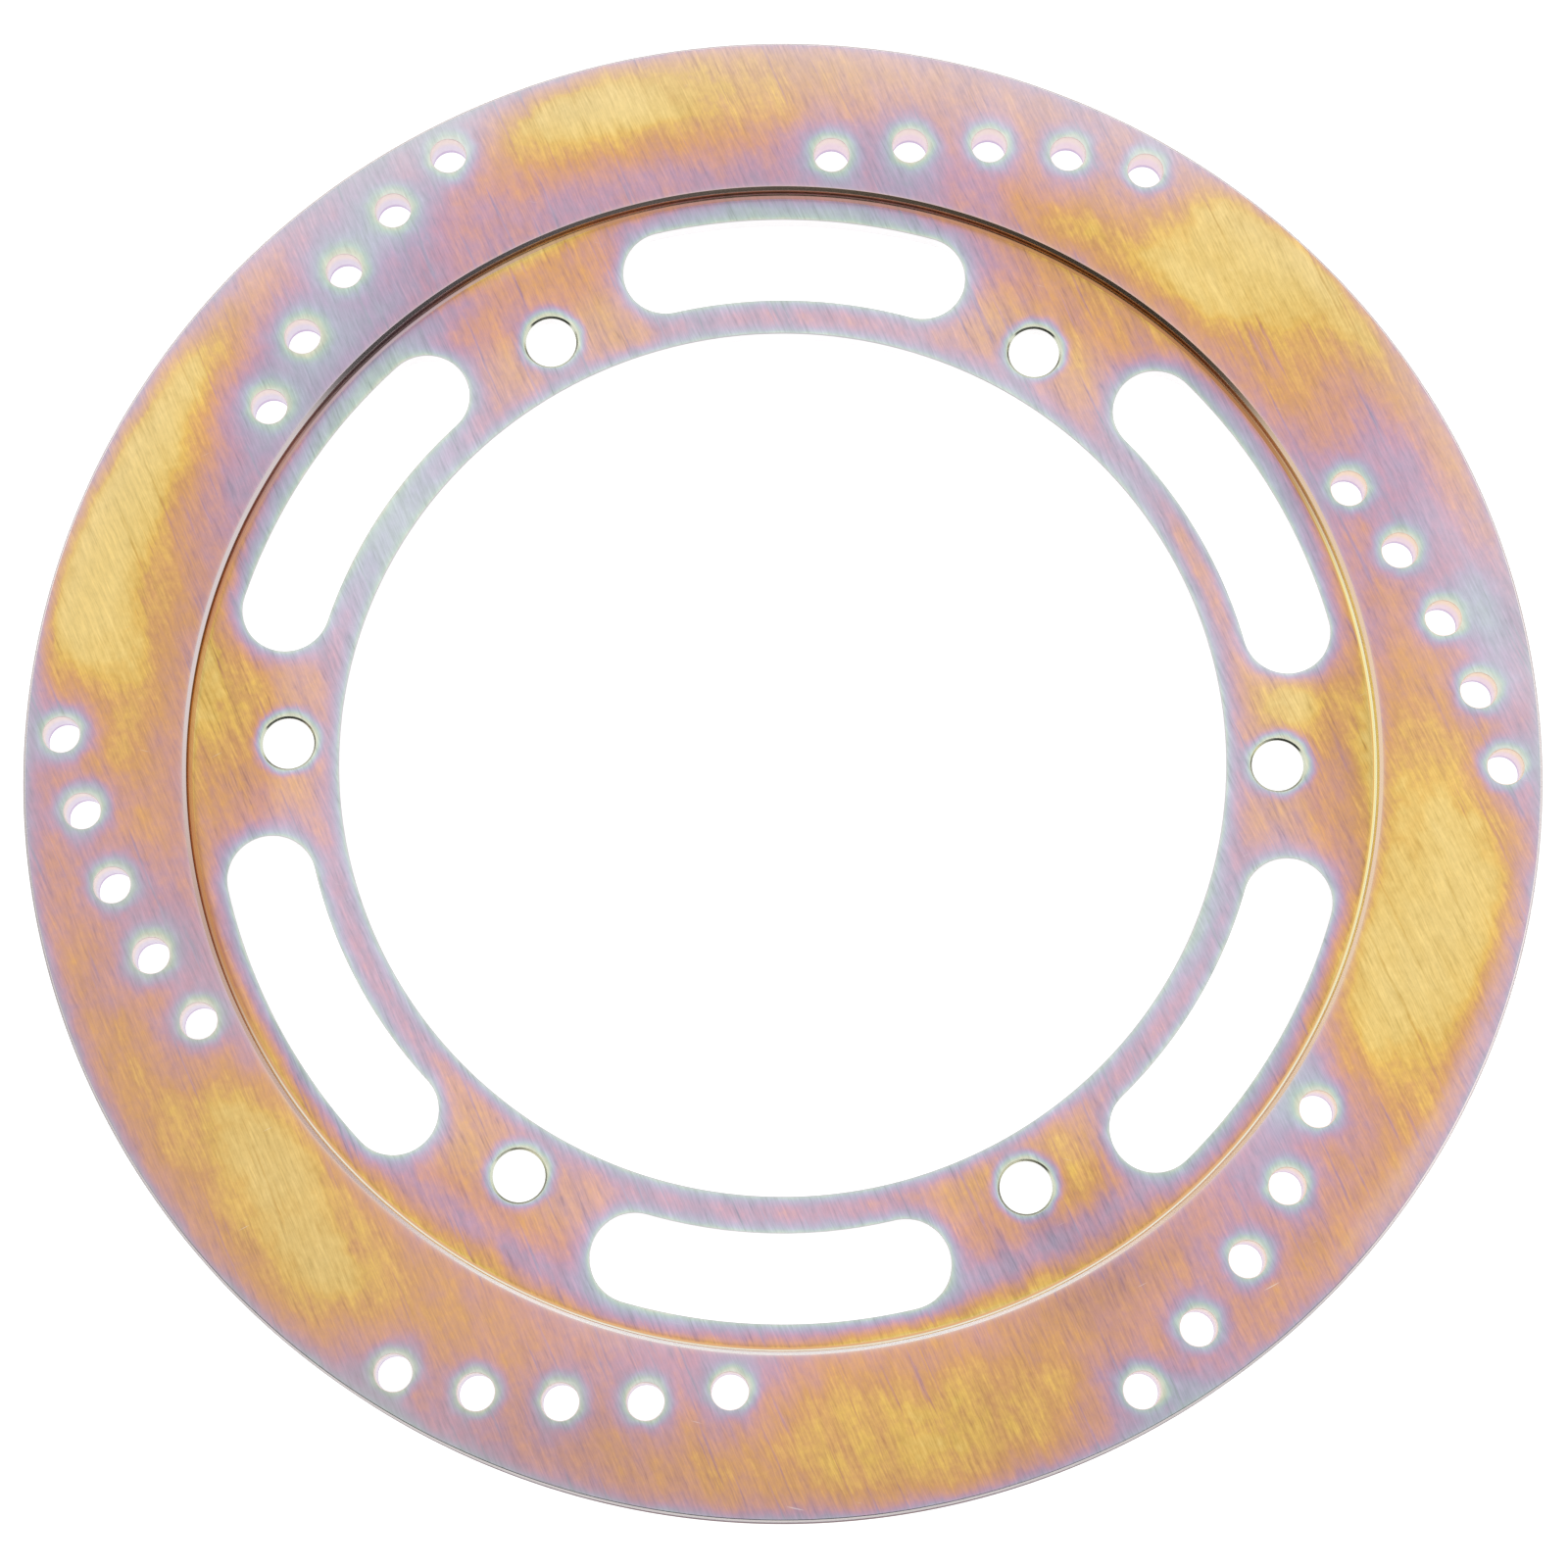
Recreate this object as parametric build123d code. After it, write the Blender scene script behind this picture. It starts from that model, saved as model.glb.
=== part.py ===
from build123d import *
import math
import os

# One-piece motorcycle brake disc rotor: a thick braking band around a thinner
# flange. Frame: origin at the centre of the bore on the flat back face, +Z
# along the wheel axis towards the recessed outer side, one fixing hole on +X.
# Millimetres and degrees.

# ---------------------------------------------------------------- dimensions
sector_count = 6              # each has one fixing hole, one slot, one vent row

outer_diameter = 250.0        # braking band, outside
band_thickness = 6.0          # full thickness that runs between the pads
rim_chamfer = 0.4             # both outside edges of the band

recess_radius = 98.2          # wall of the recess on the outer side
recess_depth = 2.5            # band face down to the flange face
recess_edge_bevel = 0.6       # where the band face meets the recess wall
recess_fillet = 0.8           # foot of the recess wall

bore_diameter = 146.4
bore_chamfer = 0.15

fixing_circle_diameter = 163.5
fixing_hole_diameter = 8.5
fixing_chamfer = 0.35

slot_centre_radius = 86.4
slot_width = 14.5             # full-round ends
slot_half_angle = 14.6        # from the slot's middle to an end-arc centre
slot_chamfer = 0.1

vents_per_row = 5
vent_diameter = 6.0
vent_chamfer = 0.1
vent_first_radius = 118.85    # outermost hole of a row, in line with a fixing hole
vent_radius_step = 3.53       # each next hole sits this much further in
vent_pitch = 13.5             # straight centre distance between neighbours

overcut = 1.0                 # how far cutters run past the faces they cut

# ---------------------------------------------------------------- derived
outer_radius = outer_diameter / 2
bore_radius = bore_diameter / 2
flange_thickness = band_thickness - recess_depth
sector_angle = 360.0 / sector_count


# ---------------------------------------------------------------- helpers
def cut_each_sector(part, cutter):
    """Cut the same shape out of every sector, one after another."""
    for i in range(sector_count):
        part -= Rot(0, 0, i * sector_angle) * cutter
    return part


def at_polar(radius, degrees):
    angle = math.radians(degrees)
    return Pos(radius * math.cos(angle), radius * math.sin(angle), 0)


def hole_cutter(diameter, chamfer_size, thickness):
    """Round through hole from z = 0 to thickness, with 45 degree mouths."""
    radius = diameter / 2
    body = Pos(0, 0, thickness / 2) * Cylinder(radius, thickness + 2 * overcut)
    mouth_height = chamfer_size + overcut
    mouth_radius = radius + mouth_height
    top = Pos(0, 0, thickness - chamfer_size + mouth_height / 2) * Cone(
        radius, mouth_radius, mouth_height
    )
    bottom = Pos(0, 0, chamfer_size - mouth_height / 2) * Cone(
        mouth_radius, radius, mouth_height
    )
    return body + top + bottom


# ---------------------------------------------------------------- blank
def make_blank():
    """Band, recess, flange and bore, revolved from a half section."""
    fillet_top = (recess_radius, flange_thickness + recess_fillet)
    fillet_foot = (recess_radius - recess_fillet, flange_thickness)
    with BuildSketch(Plane.XZ) as half_section:
        with BuildLine():
            # (radius, z): in along the flange face, down the bore, out along
            # the back, up the rim, in along the band face, down the recess wall
            Polyline(
                fillet_foot,
                (bore_radius + bore_chamfer, flange_thickness),
                (bore_radius, flange_thickness - bore_chamfer),
                (bore_radius, bore_chamfer),
                (bore_radius + bore_chamfer, 0),
                (outer_radius - rim_chamfer, 0),
                (outer_radius, rim_chamfer),
                (outer_radius, band_thickness - rim_chamfer),
                (outer_radius - rim_chamfer, band_thickness),
                (recess_radius + recess_edge_bevel, band_thickness),
                (recess_radius, band_thickness - recess_edge_bevel),
                fillet_top,
            )
            RadiusArc(fillet_top, fillet_foot, recess_fillet)
        make_face()
    return revolve(half_section.sketch, Axis.Z)


# ---------------------------------------------------------------- slots
def is_slot_edge(edge):
    """True for slot edges lying flat in the back face or the flange face."""
    middle = edge @ 0.5
    radius = math.hypot(middle.X, middle.Y)
    on_face = min(abs(middle.Z), abs(middle.Z - flange_thickness)) < 1e-4
    flat = abs((edge @ 0.0).Z - (edge @ 1.0).Z) < 1e-4
    # The small margin takes in the slot's own inner and outer arcs.
    slot_inner = slot_centre_radius - slot_width / 2 - 0.1
    slot_outer = slot_centre_radius + slot_width / 2 + 0.1
    return on_face and flat and slot_inner < radius < slot_outer


def cut_slots(part):
    """Curved lightening slots, midway between the fixing holes."""
    centre_line = CenterArc(
        (0, 0),
        slot_centre_radius,
        sector_angle / 2 - slot_half_angle,
        2 * slot_half_angle,
    )
    outline = SlotArc(centre_line, slot_width)
    cutter = Pos(0, 0, -overcut) * extrude(outline, flange_thickness + 2 * overcut)
    part = cut_each_sector(part, cutter)
    return chamfer(part.edges().filter_by(is_slot_edge), slot_chamfer)


# ---------------------------------------------------------------- holes
def cut_fixing_holes(part):
    cutter = hole_cutter(fixing_hole_diameter, fixing_chamfer, flange_thickness)
    return cut_each_sector(part, at_polar(fixing_circle_diameter / 2, 0) * cutter)


def vent_centres():
    """Polar centres (radius, degrees) of one swept row, from the outside in.

    Radius step and straight pitch are constant, so the angle between
    neighbours, from the law of cosines, grows slowly inwards.
    """
    radius, angle = vent_first_radius, 0.0
    centres = [(radius, angle)]
    for _ in range(vents_per_row - 1):
        next_radius = radius - vent_radius_step
        turn = math.acos(
            (radius**2 + next_radius**2 - vent_pitch**2) / (2 * radius * next_radius)
        )
        radius, angle = next_radius, angle + math.degrees(turn)
        centres.append((radius, angle))
    return centres


def cut_vents(part):
    """Swept rows of holes through the braking band."""
    cutter = hole_cutter(vent_diameter, vent_chamfer, band_thickness)
    for row in range(sector_count):
        for radius, angle in vent_centres():
            part -= Rot(0, 0, row * sector_angle) * at_polar(radius, angle) * cutter
    return part


# ---------------------------------------------------------------- brake disc
# Slots come first, so their edges are chamfered before any hole is cut.
disc = cut_vents(cut_fixing_holes(cut_slots(make_blank())))
brake_disc = disc.solids()[0]
brake_disc.label = "brake_disc"

os.makedirs("parts", exist_ok=True)
export_step(brake_disc, "parts/brake_disc.step")
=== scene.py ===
# A drilled brake disc lying flat: back face on z = 0, front face up, bore centred on Z.
# A thick outer band carries swept rows of vent holes; a turned step drops to the thinner
# flange, which has six fixing holes and six curved slots. Sizes are mm unless noted.
import math
from functools import partial, reduce
from operator import add
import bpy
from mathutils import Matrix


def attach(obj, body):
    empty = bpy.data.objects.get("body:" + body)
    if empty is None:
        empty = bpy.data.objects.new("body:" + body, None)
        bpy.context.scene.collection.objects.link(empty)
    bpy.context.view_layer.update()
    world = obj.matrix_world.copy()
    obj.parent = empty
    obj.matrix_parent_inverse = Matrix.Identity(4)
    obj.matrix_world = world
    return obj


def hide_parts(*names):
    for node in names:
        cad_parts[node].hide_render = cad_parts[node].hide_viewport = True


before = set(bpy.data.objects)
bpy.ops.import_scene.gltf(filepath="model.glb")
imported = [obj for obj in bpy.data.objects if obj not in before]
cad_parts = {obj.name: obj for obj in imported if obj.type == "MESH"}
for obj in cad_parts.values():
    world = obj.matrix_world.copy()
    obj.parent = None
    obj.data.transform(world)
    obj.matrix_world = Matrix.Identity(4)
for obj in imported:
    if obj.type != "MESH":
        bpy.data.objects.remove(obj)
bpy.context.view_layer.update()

from types import SimpleNamespace

import bpy
import numpy as np
from mathutils import Matrix, Vector
from mathutils.geometry import delaunay_2d_cdt

# ------------------------------------------------------------------ dimensions
MM = 0.001  # metres
RIM_RADIUS, BAND_TOP, RIM_EDGE = 124.96, 6.0, 0.62
STEP_RADIUS, STEP_BEVEL, STEP_FILLET, STEP_SOFT = 98.2, 0.60, 0.80, 0.09
FLANGE_TOP = 3.5
BEVEL_RADIUS = STEP_RADIUS + STEP_BEVEL
FOOT_RADIUS = STEP_RADIUS - STEP_FILLET
BORE_RADIUS, BORE_EDGE = 73.2, 0.15
FIXING_CIRCLE, FIXING_RADIUS, FIXING_CHAMFER, FIXING_SOFT = 81.75, 4.25, 0.35, 0.04
SLOT_CIRCLE, SLOT_HALF_WIDTH, SLOT_EDGE = 86.4, 7.25, 0.10
SLOT_HALF_ANGLE = math.radians(14.6)
VENT_RADIUS, VENT_EDGE = 3.0, 0.10
VENT_START, VENT_DROP, VENT_PITCH, VENTS_PER_ROW = 118.85, 3.53, 13.5, 5


def vent_row():
    """Centres (radius, radians) of one swept row: equal drop in radius, equal pitch."""
    radius, angle = VENT_START, 0.0
    row = [(radius, angle)]
    for _ in range(VENTS_PER_ROW - 1):
        inner = radius - VENT_DROP
        square = radius * radius + inner * inner - VENT_PITCH**2
        angle += math.acos(square / (2 * radius * inner))
        radius = inner
        row.append((radius, angle))
    return row


def from_polar(radius, angle):
    return radius * math.cos(angle), radius * math.sin(angle)


ROW = vent_row()
SIXTHS = [math.radians(60 * k) for k in range(6)]
VENTS = [from_polar(radius, angle + turn) for turn in SIXTHS for radius, angle in ROW]
FIXINGS = [from_polar(FIXING_CIRCLE, turn) for turn in SIXTHS]

# ------------------------------------------------------------------ disc mesh
# Every edge of the disc is a loop: base points and an outward direction at each.
# A profile of (depth into the metal, z, normal in, normal up) swept along the loop
# makes the wall; the flat faces between loops are triangulated.
verts, normals, faces, zones = [], [], [], []
BAND, FLANGE, BACK, VENT_WALL, FLANGE_WALL, RIM, STEP, FIXING_WALL = range(8)

# Upper half of the rolled outer edge: depth, drop below the band, normal's rise in degrees
RIM_ROLL = [
    (RIM_EDGE, 0.0, 90), (0.52, 0.012, 68), (0.46, 0.035, 57), (0.34, 0.10, 40), (0.28, 0.14, 33),
    (0.18, 0.21, 29), (0.08, 0.30, 24), (0.03, 0.38, 14), (0.0, 0.45, 0),
]


def circle_loop(centre, count):
    angles = np.arange(count) * 2 * np.pi / count
    outward = np.stack([np.cos(angles), np.sin(angles)], 1)
    return np.tile(centre, (count, 1)).astype(float), outward


def slot_loop(middle):
    """Loop of one slot about its centre line: outer side, cap, inner side, cap."""
    half = SLOT_HALF_ANGLE
    # angle along the centre line, angle faced, sign of that direction
    points = [(a, a, 1) for a in np.linspace(-half, half, 40)]
    points += [(half, half + t, 1) for t in np.linspace(0, math.pi, 30)[1:-1]]
    points += [(a, a, -1) for a in np.linspace(half, -half, 40)]
    points += [(-half, t - half, 1) for t in np.linspace(math.pi, 2 * math.pi, 30)[1:-1]]
    base = [from_polar(SLOT_CIRCLE, place) for place, _, _ in points]
    outward = [from_polar(sign, facing) for _, facing, sign in points]
    cos, sin = math.cos(middle), math.sin(middle)
    turn = np.array([[cos, sin], [-sin, cos]])
    return np.array(base) @ turn, np.array(outward) @ turn


def rounded_wall(top, edge, steps=4):
    """Straight wall from top to 0 with both edges rounded."""
    profile = []
    for centre, start in ((top - edge, math.pi / 2), (edge, math.pi)):
        for t in np.linspace(start, start + math.pi / 2, steps + 1):
            cos, sin = math.cos(t), math.sin(t)
            profile.append((edge + edge * cos, centre + edge * sin, cos, sin))
    return profile


def chamfered_wall(top, edge, soft):
    """Straight wall from top to 0 with 45 degree chamfers and barely softened corners."""
    slope, ease = math.sqrt(0.5), soft * 0.7
    return [
        (edge + soft, top, 0, 1), (edge - ease, top - ease, -slope, slope),
        (ease, top - edge + ease, -slope, slope), (0, top - edge - soft, -1, 0),
        (0, edge + soft, -1, 0), (ease, edge - ease, -slope, -slope),
        (edge - ease, ease, -slope, -slope), (edge + soft, 0, 0, -1),
    ]


def rim_profile():
    """Turned outer wall, the same roll at both edges."""
    upper = []
    for depth, drop, degrees in RIM_ROLL:
        t = math.radians(degrees)
        upper.append((depth, BAND_TOP - drop, -math.cos(t), math.sin(t)))
    return upper + [(depth, BAND_TOP - z, into, -up) for depth, z, into, up in reversed(upper)]


def step_profile():
    """Bevel at the band, then a wall and a fillet down to the flange."""
    slope, ease, corner = math.sqrt(0.5), STEP_SOFT * 0.7, 0.02
    profile = [
        (STEP_BEVEL + STEP_SOFT, BAND_TOP, 0, 1),
        (STEP_BEVEL - ease, BAND_TOP - ease, -slope, slope),
        (corner, BAND_TOP - STEP_BEVEL + corner, -slope, slope),
        (0, BAND_TOP - STEP_BEVEL - corner, -1, 0),
    ]
    for t in np.linspace(0, math.pi / 2, 11):
        depth = -STEP_FILLET + STEP_FILLET * math.cos(t)
        z = FLANGE_TOP + STEP_FILLET - STEP_FILLET * math.sin(t)
        profile.append((depth, z, -math.cos(t), math.sin(t)))
    return profile


def sweep(loop, radius, profile, zone, sign=1):
    """Adds a wall's rings and quads; gives its first and last ring's vertex numbers.

    The sign is 1 where metal lies outside the loop and -1 where it lies inside.
    """
    base, outward = loop
    count, rings = len(base), []
    for depth, z, into, up in profile:
        first = len(verts)
        places = base + outward * (radius + sign * depth)
        for (x, y), (out_x, out_y) in zip(places, outward):
            verts.append((x, y, z))
            normals.append((sign * into * out_x, sign * into * out_y, up))
        rings.append(np.arange(first, first + count))
    for upper, lower in zip(rings[:-1], rings[1:]):
        for i in range(count):
            j = (i + 1) % count
            quad = (upper[i], upper[j], lower[j], lower[i])
            faces.append(quad if sign > 0 else quad[::-1])
            zones.append(zone)
    return rings[0], rings[-1]


def clear_of_holes(x, y, centres, reach):
    return np.min([np.hypot(x - hole_x, y - hole_y) for hole_x, hole_y in centres], 0) - reach


def clear_of_vents(x, y):
    return clear_of_holes(x, y, VENTS, VENT_RADIUS) - VENT_EDGE


def clear_of_slots(x, y):
    angle, radius = np.arctan2(y, x), np.hypot(x, y)
    folded = np.abs(np.mod(angle, math.pi / 3) - math.pi / 6)
    end_x, end_y = from_polar(SLOT_CIRCLE, SLOT_HALF_ANGLE)
    end = np.hypot(radius * np.cos(folded) - end_x, radius * np.sin(folded) - end_y)
    side = np.abs(radius - SLOT_CIRCLE)
    return np.where(folded < SLOT_HALF_ANGLE, side, end) - SLOT_HALF_WIDTH - SLOT_EDGE


def clear_of_flange_openings(x, y):
    fixings = clear_of_holes(x, y, FIXINGS, FIXING_RADIUS) - FIXING_CHAMFER - FIXING_SOFT
    bore = np.hypot(x, y) - BORE_RADIUS - BORE_EDGE
    return np.minimum.reduce([bore, fixings, clear_of_slots(x, y)])


def inside_band(x, y):
    radius = np.hypot(x, y)
    outer = RIM_RADIUS - RIM_EDGE - radius
    inner = radius - STEP_RADIUS - STEP_BEVEL - STEP_SOFT
    return np.minimum.reduce([outer, inner, clear_of_vents(x, y)])


def inside_flange(x, y):
    return np.minimum(FOOT_RADIUS - np.hypot(x, y), clear_of_flange_openings(x, y))


def inside_back(x, y):
    outer = RIM_RADIUS - RIM_EDGE - np.hypot(x, y)
    return np.minimum.reduce([outer, clear_of_vents(x, y), clear_of_flange_openings(x, y)])


def field_points(spacing, inside, reach=130):
    """Staggered even rows of points, kept a little clear of every loop."""
    rows = []
    count = int(reach / spacing)
    for j in range(-count, count + 1):
        xs = (np.arange(-count, count + 1) + 0.5 * (j % 2)) * spacing
        rows.append(np.stack([xs, np.full(len(xs), j * spacing * 0.866)], 1))
    grid = np.concatenate(rows)
    return grid[inside(grid[:, 0], grid[:, 1]) > spacing * 0.45]


def fill(loops, z, up, inside, zone, spacing=2.3):
    """Triangulates the flat face between loops, with an even field of points in it."""
    loop_ids = np.concatenate(loops)
    loop_points = np.array([verts[i][:2] for i in loop_ids])
    edges, start = [], 0
    for loop in loops:
        count = len(loop)
        edges += [(start + i, start + (i + 1) % count) for i in range(count)]
        start += count
    grid = field_points(spacing, inside)
    first = len(verts)
    for x, y in grid:
        verts.append((x, y, z))
        normals.append((0, 0, 1 if up else -1))
    ids = np.concatenate([loop_ids, np.arange(first, first + len(grid))])
    points = [Vector((float(x), float(y))) for x, y in np.concatenate([loop_points, grid])]
    placed, _, triangles, sources, _, _ = delaunay_2d_cdt(points, edges, [], 0, 1e-6)
    for triangle in triangles:
        centre = sum((placed[i] for i in triangle), Vector((0, 0))) / 3
        if inside(np.array([centre.x]), np.array([centre.y]))[0] <= 0:
            continue
        corners = [int(ids[sources[i][0]]) for i in triangle]
        one, two, three = (placed[i] for i in triangle)
        anticlockwise = (two - one).cross(three - one) > 0
        faces.append(tuple(corners if anticlockwise == up else corners[::-1]))
        zones.append(zone)


def build_surfaces():
    """All walls, then the band, flange and back faces between them."""
    centre = (0, 0)
    rim = sweep(circle_loop(centre, 720), RIM_RADIUS, rim_profile(), RIM, sign=-1)
    step = sweep(circle_loop(centre, 720), STEP_RADIUS, step_profile(), STEP)
    bore_wall = rounded_wall(FLANGE_TOP, BORE_EDGE)
    bore = sweep(circle_loop(centre, 540), BORE_RADIUS, bore_wall, FLANGE_WALL)
    vent_wall = rounded_wall(BAND_TOP, VENT_EDGE, steps=3)
    vents = [sweep(circle_loop(c, 56), VENT_RADIUS, vent_wall, VENT_WALL) for c in VENTS]
    fixing_wall = chamfered_wall(FLANGE_TOP, FIXING_CHAMFER, FIXING_SOFT)
    fixings = [
        sweep(circle_loop(c, 72), FIXING_RADIUS, fixing_wall, FIXING_WALL) for c in FIXINGS
    ]
    slot_wall = rounded_wall(FLANGE_TOP, SLOT_EDGE, steps=3)
    slots = [
        sweep(slot_loop(math.radians(60 * k + 30)), SLOT_HALF_WIDTH, slot_wall, FLANGE_WALL)
        for k in range(6)
    ]
    band_loops = [wall[0] for wall in [rim, step] + vents]
    flange_loops = [step[1]] + [wall[0] for wall in [bore] + fixings + slots]
    back_loops = [wall[1] for wall in [rim, bore] + vents + fixings + slots]
    fill(band_loops, BAND_TOP, True, inside_band, BAND)
    fill(flange_loops, FLANGE_TOP, True, inside_flange, FLANGE, spacing=1.9)
    fill(back_loops, 0.0, False, inside_back, BACK)


# ------------------------------------------------------------------ film, and painted light and shade fields
# Soft patches: degrees, radius, half width in degrees, half width in mm,
# strength. Film patches are thicker (gold) or thinner (mauve, blue) in film steps.
BAND_PATCHES = [
    (357, 110, 14, 11, 1.9), (339, 102, 8, 8, 1.3), (354, 100, 12, 4, 1.3), (11, 119, 7, 5, -3.4),
    (26, 115, 8, 6, -2.9), (43, 122, 9, 4, 1.4), (52, 117, 8, 8, 1.4), (60, 104, 10, 8, 1.0),
    (20, 102, 5, 4, 1.0), (12, 119, 5, 4, -0.8), (302, 123, 3, 3, -5.0), (328, 100, 4, 3, -3.0),
    (80, 102, 6, 4, -0.7), (76, 104, 13, 8, -1.3), (102, 119.5, 13, 4.5, 3.0),
    (115, 115, 9, 5, 0.9), (106, 102, 14, 6, -2.3), (130, 116, 7, 7, -3.4),
    (140, 105, 10, 8, -2.5), (150, 119, 9, 5, 1.6), (165, 119, 12, 6.5, 2.4),
    (155, 101, 10, 5, -1.7), (180, 110, 10, 6, 1.3), (200, 106, 6, 6, -1.6),
    (213, 107, 8, 8, 1.1), (221, 103, 7, 5, 0.6), (230, 110, 8, 6, 0.5), (248, 110, 12, 5, 0.9),
    (270, 107, 8, 5, 0.5), (263, 102, 8, 4, -0.7), (311, 116, 8, 7, 0.7), (324, 101, 7, 4, -2.0),
    (290, 103, 8, 4, -0.8), (333, 108, 7, 6, 0.6), (9, 103, 5, 4, 0.4), (0, 116.5, 3, 3, 0.8),
    (342, 123, 22, 3, -1.3), (91, 118, 5, 4, 2.2), (110, 124, 40, 3, -1.0),
    (128, 108, 18, 13, -0.7), (136, 102, 16, 3, -0.8), (171, 120, 5, 5, 0.6),
    (160, 107, 6, 4, -0.6), (221, 104, 5, 5, 0.6), (221, 115, 7, 5, -0.5), (221, 121, 7, 3, -0.8),
    (231, 112, 4, 4, 0.7), (258, 123, 28, 3, -0.6), (271, 117, 5, 4, -0.8), (331, 104, 5, 4, 0.5),
    (342, 100, 8, 2.5, 0.5), (155, 124, 16, 2.5, -1.5), (113, 122, 8, 3, -0.7),
    (240, 124, 6, 2, -0.6), (350, 103, 5, 4, -0.5), (14, 117, 4, 4, -0.9),
    (336, 123, 12, 3, -0.7), (120, 110, 10, 10, -0.4), (38, 100, 14, 2, -0.8),
    (20, 119, 4, 4, -0.6), (41, 120, 4, 3, -0.6), (0, 105, 6, 4, -0.5), (92, 119, 6, 3, 0.8),
    (165, 112, 6, 4, -0.5), (217, 100, 9, 2.5, 0.5), (300, 117, 5, 5, 0.4),
    (64, 104, 5, 3.5, 1.1), (51.5, 107, 5, 4, 0.9), (37, 112, 4, 4, -0.6), (42, 106, 4, 3, -0.5),
    (301, 123.2, 1.6, 1.3, 5.5),
]
FLANGE_PATCHES = [
    (10, 85, 6, 7, 1.7), (2, 96.5, 6, 2, 1.5), (150, 77, 14, 6, -2.4), (137, 96, 12, 4, -3.4),
    (158, 95, 10, 4, -1.8), (90, 95.5, 16, 4, -3.1), (35, 95.5, 11, 4, -1.8),
    (118, 97.5, 7, 2, 1.6), (285, 96.5, 12, 2, 2.0), (215, 96.5, 14, 2, 1.8),
    (340, 96, 8, 3, 1.8), (300, 92, 16, 3, -2.0), (243, 93, 14, 3, -2.0), (320, 94, 10, 3, -1.4),
    (310, 85, 6, 5, 1.2), (173, 91, 10, 7, 1.3), (298, 76, 14, 4, 1.4), (338, 74.8, 9, 2.0, -3.0),
    (85, 78, 10, 4, 0.8), (28, 78, 8, 4, 1.9), (40, 75, 5, 2, -1.4), (227, 76, 7, 4, 1.1),
    (190, 80, 6, 5, -0.6), (70, 92, 5, 4, -0.8), (60, 96, 6, 2, 0.6), (112, 84, 5, 6, 0.6),
    (8, 86, 6, 10, 0.8), (30, 77.5, 14, 2.5, 0.7), (60, 75.5, 5, 3, -1.1), (60, 84.5, 5, 4, 1.0),
    (110, 76, 5, 4, 0.7), (121, 88, 7, 4, -1.1), (150, 75.5, 14, 3, -0.8),
    (145, 95.5, 9, 2.5, -0.7), (90, 96.5, 14, 2, -1.0), (172, 95.5, 7, 2.5, 1.0),
    (205, 96.5, 8, 1.5, -0.8), (232, 84, 4, 5, 0.6), (241, 95.5, 4, 2.5, 1.0),
    (256, 94, 6, 2, -1.1), (278, 74.5, 18, 2, 0.6), (290, 92, 5, 4, -0.9), (303, 83, 5, 5, 0.8),
    (333, 77.5, 10, 2.5, 0.8), (21, 96.5, 4, 1.5, -0.9), (0, 76.5, 5, 3, -0.7),
    (60, 76.5, 5, 3.5, -0.5), (22, 77.5, 6, 3, 0.5), (110, 75, 4, 3, 0.7), (131, 75, 4, 3, 0.7),
    (120, 76.5, 4, 3, -0.6), (90, 95.5, 5, 2.5, 0.8), (259, 94, 4, 2, -0.8),
    (160, 96.8, 4, 1.5, 0.9), (20, 94, 4, 2.5, 0.7), (14, 83, 5, 5, 1.0), (315, 83, 5, 5, 0.7),
    (105, 85, 4, 5, 0.5), (15, 86, 5, 6, 1.5), (165, 84, 5, 6, 0.8), (165, 96.3, 5, 2, 0.9),
    (315, 81, 5, 4, 1.1), (105, 86, 4, 5, 0.7), (225, 86, 5, 4, 0.7), (240, 96, 5, 1.5, 0.6),
    (297, 89.5, 5, 4, -0.6),
]
BACK_PATCHES = [
    (20, 112, 16, 8, 1.6), (65, 105, 12, 8, -2.0), (110, 118, 18, 6, 1.5),
    (150, 108, 14, 8, -2.2), (190, 114, 16, 7, 1.4), (235, 104, 12, 8, -1.5),
    (275, 116, 16, 6, 1.7), (325, 106, 14, 8, -1.8), (40, 80, 14, 7, -1.2),
    (160, 90, 16, 6, -1.6), (250, 84, 14, 8, 1.2), (330, 92, 12, 6, -1.0),
]
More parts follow.
